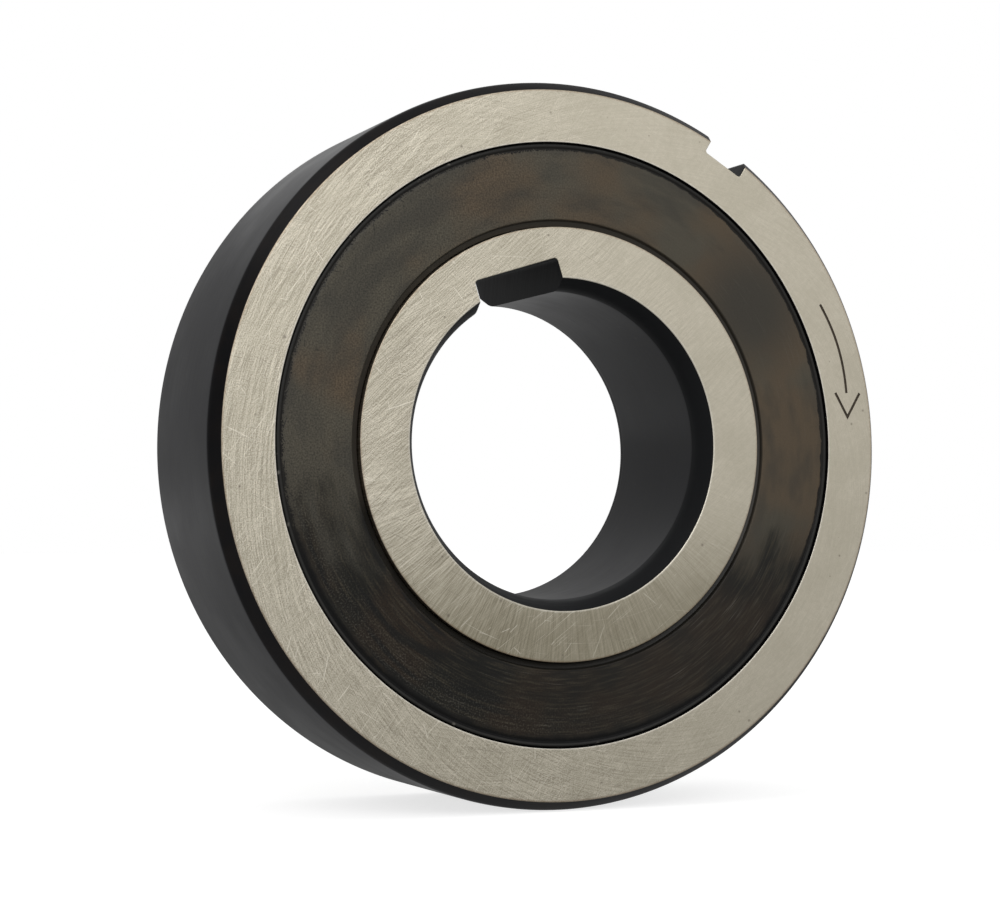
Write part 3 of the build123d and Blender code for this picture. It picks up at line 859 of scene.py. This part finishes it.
def seal_rubber():
    """Moulded rubber: a dusty olive and brown film over black, thinning towards the bottom, where the bare
    black is partly wiped rubber and partly painted shade, with fine streaks, grit, lint and crumbs, painted
    shade over the crease and along the throat, and a grey bead. The film's shine is its own thin coat."""
    material, tree, surface, place = new_finish("moulded_seal_rubber", specular=0.1)
    where = use(tree, polar_group, {"Place": place})
    flat, radius = where["Flat"], where["Radius"]
    sideways, height, _ = axes(tree, flat)
    smoke = ring_noise(tree, where, radius, 4.0, 0.7)
    streaks = ring_noise(tree, where, radius, 9.0, 8.0)
    rubs = ring_noise(tree, where, radius, 7.0, 14.0)
    oil = ring_noise(tree, where, radius, 3.0, 1.6)
    warm = noise(tree, vector_calc(tree, "ADD", flat, (31.0, 7.0, 0.0)), 0.14, 3.0)
    grain = flat_noise(tree, flat, 9.0, 2.0)
    loose = flat_noise(tree, flat, 1.1, 4.0)
    crisp = fade(tree, sideways, 9.0, -9.0, 0.15, 1.0)
    grit = product(tree, centred(tree, grain), crisp)

    # Film of dust and smoke, thinning towards the bottom, where the darker rubber beneath is partly painted
    # shade
    olive = (0.066, 0.058, 0.041, 1)
    brown = (0.080, 0.058, 0.035, 1)
    soot = (0.030, 0.028, 0.022, 1)
    smudge_place = (13.6, 9.5, 0.0)
    # Share of the film: falls off towards the bottom, partly as wiped dust and partly as painted shade
    wiped_and_shaded = blend(tree, (height, 1.0), (sideways, 0.08), (centred(tree, smoke), 14.0))
    film_and_shade = fade(tree, wiped_and_shaded, -9.0, -2.0)
    browned = calc(tree, "MULTIPLY_ADD", sideways, 0.006, warm)
    dust = tint(tree, fade(tree, browned, 0.40, 0.60), olive, brown)
    smudge = fade(tree, vector_calc(tree, "DISTANCE", flat, smudge_place), 6.0, 1.0, 0.0, 0.85)
    dust = tint(tree, calc(tree, "MAXIMUM", fade(tree, smoke, 0.40, 0.70, 0.0, 0.6), smudge), dust, soot)

    # Bare rubber under it, streaked and oily
    olive_black = (0.0060, 0.0057, 0.0042, 1)
    brown_black = (0.016, 0.0105, 0.0062, 1)
    streak_tone = (0.042, 0.035, 0.023, 1)
    oil_black = (0.0035, 0.0035, 0.003, 1)
    oily = fade(tree, oil, 0.50, 0.62, 0.0, fade(tree, sideways, 2.0, -8.0, 0.2, 0.85))
    bare = layered(
        tree,
        tint(tree, fade(tree, warm, 0.4, 0.6), olive_black, brown_black),
        (fade(tree, streaks, 0.42, 0.78, 0.0, 0.7), streak_tone),
        (oily, oil_black),
    )

    # Rubbed streaks, scuffs near the outer edge, grit, specks and lint
    rub_tone = (0.12, 0.11, 0.09, 1)
    scuff_tone = (0.075, 0.072, 0.062, 1)
    dirt_tone = (0.006, 0.006, 0.005, 1)
    rub = product(
        tree,
        fade(tree, rubs, 0.56, 0.80),
        fade(tree, smoke, 0.55, 0.40),
        fade(tree, film_and_shade, 0.0, 1.0, 0.5, 0.2),
    )
    scuff = product(
        tree,
        fade(tree, grain, 0.50, 0.75),
        fade(tree, radius, 15.8, 18.2),
        crisp,
        fade(tree, film_and_shade, 0.0, 1.0, 0.35, 0.0),
    )
    colour = layered(tree, tint(tree, film_and_shade, bare, dust), (rub, rub_tone), (scuff, scuff_tone))
    colour = vector_calc(tree, "MULTIPLY", colour, calc(tree, "MULTIPLY_ADD", grit, 1.9, 1.0))
    lint, _ = hairlines(tree, flat, 1.3, 0.05, 53.0)
    lint = product(tree, lint, fade(tree, radius, crease_inner - 1.2, crease_inner))
    dirt = calc(tree, "MAXIMUM", product(tree, specks(tree, flat, 0.8, 0.22), 0.5), lint)
    colour = tint(tree, product(tree, dirt, crisp), colour, dirt_tone)

    # Painted shade over the crease and along the throat, then the bead, with crumbs beside the seat
    rim_shade_bare = (0.0045, 0.0045, 0.0045, 1)
    rim_shade_dusty = (0.011, 0.010, 0.0085, 1)
    throat_shade_bare = (0.012, 0.011, 0.009, 1)
    throat_shade_dusty = (0.034, 0.030, 0.024, 1)
    bead_tone = (0.017, 0.0165, 0.015, 1)
    crumb_tone = (0.30, 0.28, 0.24, 1)
    rim_shade_reach = fade(tree, film_and_shade, 1.0, 0.0, 0.09, 0.45)
    loosened = blend(tree, (centred(tree, loose), 0.35), (grit, 0.7), (radius, 1.0))
    # Painted shade: a black band over the crease beside the bead, wider where the film is thin
    rim = fade(tree, loosened, calc(tree, "SUBTRACT", crease_inner, rim_shade_reach), crease_inner)
    # Painted shade: the seal's inner edge darkened beside the gap at the throat
    throat_shade = fade(tree, radius, throat_radius + 0.1, throat_radius + 0.02)
    bead = fade(tree, radius, bead_inner, bead_inner + 0.1)
    crumb = product(
        tree,
        specks(tree, flat, 0.4, 0.3),
        fade(tree, radius, bead_inner, bead_radius),
        crisp,
        fade(tree, loose, 0.48, 0.60),
        0.8,
    )
    colour = layered(
        tree,
        colour,
        (rim, tint(tree, film_and_shade, rim_shade_bare, rim_shade_dusty)),
        (throat_shade, tint(tree, film_and_shade, throat_shade_bare, throat_shade_dusty)),
        (bead, bead_tone),
        (crumb, crumb_tone),
    )

    # Shine, roughness and relief
    shine = fade(tree, film_and_shade, 0.0, 1.0, fade(tree, sideways, 10.0, -8.0, 0.24, 0.15), 0.335)
    shine = product(tree, shine, fade(tree, rim, 0.0, 1.0, 1.0, 0.3))
    shine = calc(tree, "MAXIMUM", shine, product(tree, bead, 0.2))
    edge = calc(tree, "MAXIMUM", rim, throat_shade)
    rough = blend(tree, (fade(tree, grain, 0.3, 0.7, 0.55, 0.65), 1.0), (edge, -0.1))
    relief = blend(tree, (product(tree, grain, crisp), 1.0), (streaks, 0.6))
    grain_depth = 0.00002
    normal = bump(tree, relief, 0.4, grain_depth)
    surface.inputs["Coat Roughness"].default_value = 0.42
    drive(tree, surface, Base_Color=colour, Roughness=rough, Coat_Weight=shine)
    drive(tree, surface, Normal=normal, Coat_Normal=normal)
    return material


rubber = seal_rubber()
for end, side in (("front", -1), ("rear", 1)):
    seal = grid_mesh(f"{end}_seal_moulding", revolved(seal_profile(side), seal_sway))
    seal.data.materials.append(rubber)
    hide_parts(f"{end}_seal_rubber")
    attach(seal, "outer_ring")

# ---- Works inside ----
# Balls, crown cage, sprags, sprag cages, ribbon spring and seal washers. They keep their machined shapes,
# and each gets its own finish: polished, moulded, tumbled, drawn, tempered or phosphated.


def plain_finish(name, tones, scale, rough, metallic=1.0, stretch=(1.0, 1.0, 1.0)):
    """Finish with two mottled tones and a fine grain that stretch draws out along an axis."""
    material, tree, surface, place = new_finish(name, metallic=metallic)
    grain = noise(tree, in_mm(tree, place, stretch), scale, 4.0)
    mottle = noise(tree, in_mm(tree, place), 0.5, 3.0)
    dark, light = tones
    colour = tint(tree, fade(tree, mottle, 0.3, 0.7), (*dark, 1), (*light, 1))
    roughness = fade(tree, grain, 0.3, 0.7, rough, rough + 0.12)
    grain_depth = 0.000004
    drive(tree, surface, Base_Color=colour, Roughness=roughness, Normal=bump(tree, grain, 0.3, grain_depth))
    return material


polished = plain_finish("polished_ball_steel", [(0.66, 0.66, 0.67), (0.72, 0.72, 0.72)], 6.0, 0.06)
moulded = plain_finish("crown_nylon", [(0.70, 0.66, 0.52), (0.76, 0.72, 0.58)], 8.0, 0.42, metallic=0.0)
tumbled = plain_finish("tumbled_sprag_steel", [(0.42, 0.42, 0.43), (0.52, 0.51, 0.50)], 5.0, 0.26)
drawn_tones = [(0.46, 0.46, 0.47), (0.55, 0.55, 0.55)]
drawn_steel = plain_finish("drawn_cage_steel", drawn_tones, 4.0, 0.30, stretch=(1.0, 0.1, 1.0))
tempered = plain_finish("tempered_spring_steel", [(0.42, 0.33, 0.22), (0.50, 0.45, 0.36)], 5.0, 0.28)
phosphated = plain_finish("phosphated_washer_steel", [(0.16, 0.16, 0.165), (0.23, 0.23, 0.23)], 7.0, 0.48)
finished = [
    (polished, [f"ball_{number:02}" for number in range(1, 11)]),
    (moulded, ["ball_cage"]),
    (tumbled, [f"sprag_{number:02}" for number in range(1, 17)]),
    (drawn_steel, ["sprag_outer_cage", "sprag_inner_cage"]),
    (tempered, ["sprag_spring"]),
    (phosphated, ["front_seal_core", "rear_seal_core"]),
]
for material, names in finished:
    for name in names:
        piece = frame["nodes"][name]
        piece.data.materials.clear()
        piece.data.materials.append(material)

# ---- Floor, light and camera ----
# A pale sheet under the ring, which stands on its edge, a soft white surround and two soft lamps. Six black
# cards, seen only in reflections, glow a little so that the polished surfaces don't shine evenly.

floor_size = 6.0
floor_height = cad_low.z
floor_glow = 0.72
surround_light, surround_seen = 0.65, 1.0
black, grey, white = (0, 0, 0, 1), (0.5, 0.5, 0.5, 1), (1, 1, 1, 1)


def background_share(tree):
    """One for rays that see the background: straight from the camera, mirrored or let through."""
    kind = put(tree, "ShaderNodeLightPath").outputs
    seen = calc(tree, "MAXIMUM", kind["Is Camera Ray"], kind["Is Glossy Ray"])
    return calc(tree, "MAXIMUM", seen, kind["Is Transmission Ray"])


def sheet_of(name, width, depth, matrix):
    """Flat rectangle about its own centre, placed by a matrix that goes into its mesh."""
    corners = np.array([(-1, -1), (1, -1), (1, 1), (-1, 1)]) * (width / 2, depth / 2)
    mesh = bpy.data.meshes.new(name)
    mesh.from_pydata(np.column_stack([corners, np.zeros(4)]).tolist(), [], [(0, 1, 2, 3)])
    mesh.transform(matrix)
    made = new_object(name, mesh)
    return made


floor = sheet_of("floor", floor_size, floor_size, Matrix.Translation((0, 0, floor_height)))
material, tree, surface, place = new_finish("pale_sheet", roughness=0.9, specular=0.05)
surface.inputs["Base Color"].default_value = grey
surface.inputs["Emission Color"].default_value = white
drive(tree, surface, Emission_Strength=product(tree, background_share(tree), floor_glow))
floor.data.materials.append(material)

world = bpy.data.worlds.new("soft_surround")
world.use_nodes = True
tree = world.node_tree
tree.nodes.clear()
strength = fade(tree, background_share(tree), 0.0, 1.0, surround_light, surround_seen)
surround = put(tree, "ShaderNodeBackground", {"Color": white, "Strength": strength})
put(tree, "ShaderNodeOutputWorld", {"Surface": surround.outputs[0]})
bpy.context.scene.world = world


def aimed(place, target):
    """Matrix at a place whose own -Z points at the target."""
    place, target = Vector(place), Vector(target)
    return Matrix.Translation(place) @ (target - place).to_track_quat("-Z", "Y").to_matrix().to_4x4()


def soft_lamp(name, place, size, power):
    """Square lamp that faces the ring."""
    lamp = bpy.data.lights.new(name, "AREA")
    lamp.size = size
    lamp.energy = power
    new_object(name, lamp).matrix_world = aimed(place, (0, 0, 0))


def card(name, width, depth, matrix, glow, axis=None, between=None, far_glow=None):
    """Black rectangle seen only in reflections. Its glow is even, or it fades into far_glow between two
    places on an axis."""
    made = sheet_of(name, width, depth, matrix)
    material, tree, surface, place = new_finish(name, roughness=1.0, specular=0.0)
    surface.inputs["Base Color"].default_value = black
    surface.inputs["Emission Color"].default_value = white
    surface.inputs["Emission Strength"].default_value = glow
    if axis:
        fading = fade(tree, axes(tree, place)[axis], *between, glow, far_glow)
        drive(tree, surface, Emission_Strength=fading)
    made.data.materials.append(material)
    made.visible_camera = made.visible_diffuse = made.visible_shadow = made.visible_transmission = False


soft_lamp("key_lamp", place=(-0.06, -0.42, 0.22), size=0.32, power=0.65)
soft_lamp("fill_lamp", place=(-0.30, -0.10, 0.35), size=0.30, power=0.25)

above_floor = floor_height + 0.00005
front_floor = Matrix.Translation((0.0, -0.4, above_floor))
rear_floor = Matrix.Translation((0.0, 0.4, above_floor))
rear_height = floor_height + 0.45
rear = aimed((0.0, 0.45, rear_height), (0, 0, rear_height))
upper_rear = aimed((0.0, 0.055, 0.080), (0, 0, 0.080))
card("front_floor_card", 1.6, 0.8, front_floor, glow=0.48)
card("rear_floor_card", 1.6, 0.8, rear_floor, glow=0.25, axis="Y", between=(0.01, 0.13), far_glow=0.42)
card("rear_card", 1.1, 0.9, rear, glow=0.275, axis="Z", between=(0.12, 0.65), far_glow=0.75)
card(
    "upper_rear_card", 0.16, 0.1, upper_rear, glow=0.275, axis="X", between=(-0.042, -0.002), far_glow=0.62
)
card("side_card", 0.5, 0.5, aimed((-0.35, 0.0, 0.05), (0, 0, 0)), glow=0.02)
card("top_card", 0.5, 0.6, Matrix.Translation((0.1, 0.15, 0.36)), glow=0.15)

look_at = Vector((-1.641, 0.0, -0.323)) * MM
azimuth = math.radians(-22.958)
elevation = math.radians(-2.216)
distance = 0.153652
towards_camera = Vector(
    (math.sin(azimuth) * math.cos(elevation), -math.cos(azimuth) * math.cos(elevation), math.sin(elevation))
)
camera = new_object("camera", bpy.data.cameras.new("camera"))
camera.matrix_world = aimed(look_at + towards_camera * distance, look_at)
camera.data.sensor_width = 36.0
camera.data.lens = 82.886
camera.data.clip_start = 0.01
bpy.context.scene.camera = camera
bpy.context.scene.view_settings.view_transform = "Standard"
